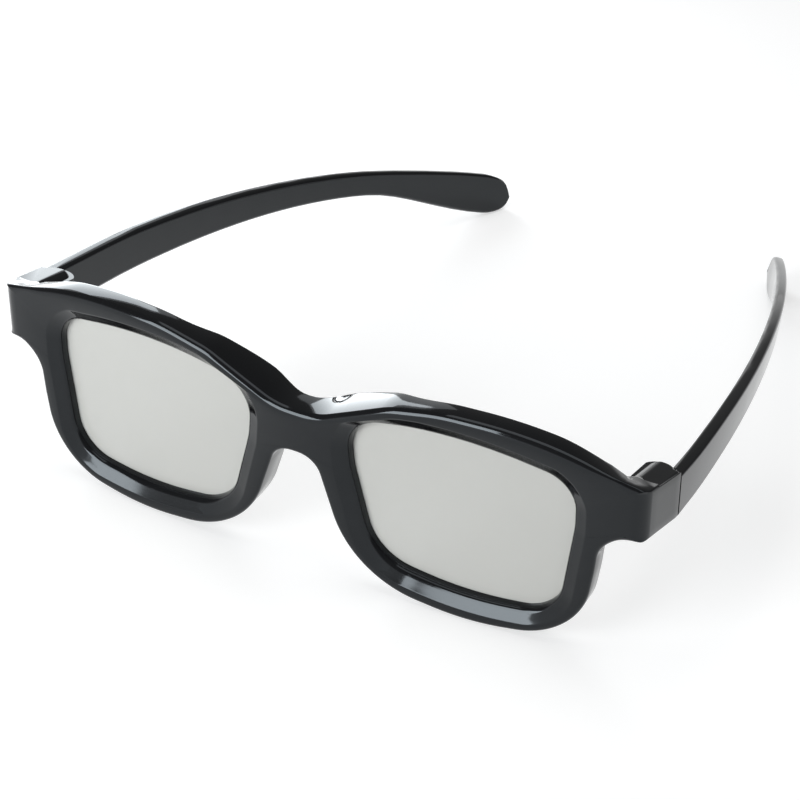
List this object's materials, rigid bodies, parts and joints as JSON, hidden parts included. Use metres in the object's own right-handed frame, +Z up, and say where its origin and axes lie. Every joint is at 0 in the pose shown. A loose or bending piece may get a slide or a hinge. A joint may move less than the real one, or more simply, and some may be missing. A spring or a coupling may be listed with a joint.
{
  "type": "passive 3d glasses",
  "caption": "Black moulded plastic glasses with grey polarising film lenses for watching stereoscopic films, with curved temples that fold on pinned hinges",
  "frame": {"origin": "On the ground, in the middle of the box round the glasses as they stand open on their rims and temple tips", "axes": "+Z up; the front faces -Y and the temples run back along +Y; +X is the wearer's left"},
  "size_m": [0.1462, 0.1756, 0.0491],
  "materials": {
    "black_plastic": "polished black injection moulding",
    "clear_film": "clear cellulose film",
    "polariser_film": "grey dyed polarising film",
    "pin_steel": "drawn steel pin"
  },
  "bodies": {
    "front": {"front_frame": "black_plastic", "left_retarder_film": "clear_film", "left_cover_film": "clear_film", "left_polariser_film": "polariser_film", "left_backing_film": "clear_film", "right_retarder_film": "clear_film", "right_cover_film": "clear_film", "right_polariser_film": "polariser_film", "right_backing_film": "clear_film", "left_hinge_pin": "pin_steel", "right_hinge_pin": "pin_steel"},
    "left_arm": {"left_temple": "black_plastic"},
    "right_arm": {"right_temple": "black_plastic"}
  },
  "joints": [
    {"name": "left_fold", "type": "hinge", "parent": "front", "child": "left_arm", "pos_m": [0.0687, -0.06767, 0.03378], "axis": [-0.0436, 0.1229, 0.9915], "range_deg": [0, 80]},
    {"name": "right_fold", "type": "hinge", "parent": "front", "child": "right_arm", "pos_m": [-0.0687, -0.06767, 0.03378], "axis": [-0.0436, -0.1229, -0.9915], "range_deg": [0, 70]}
  ]
}
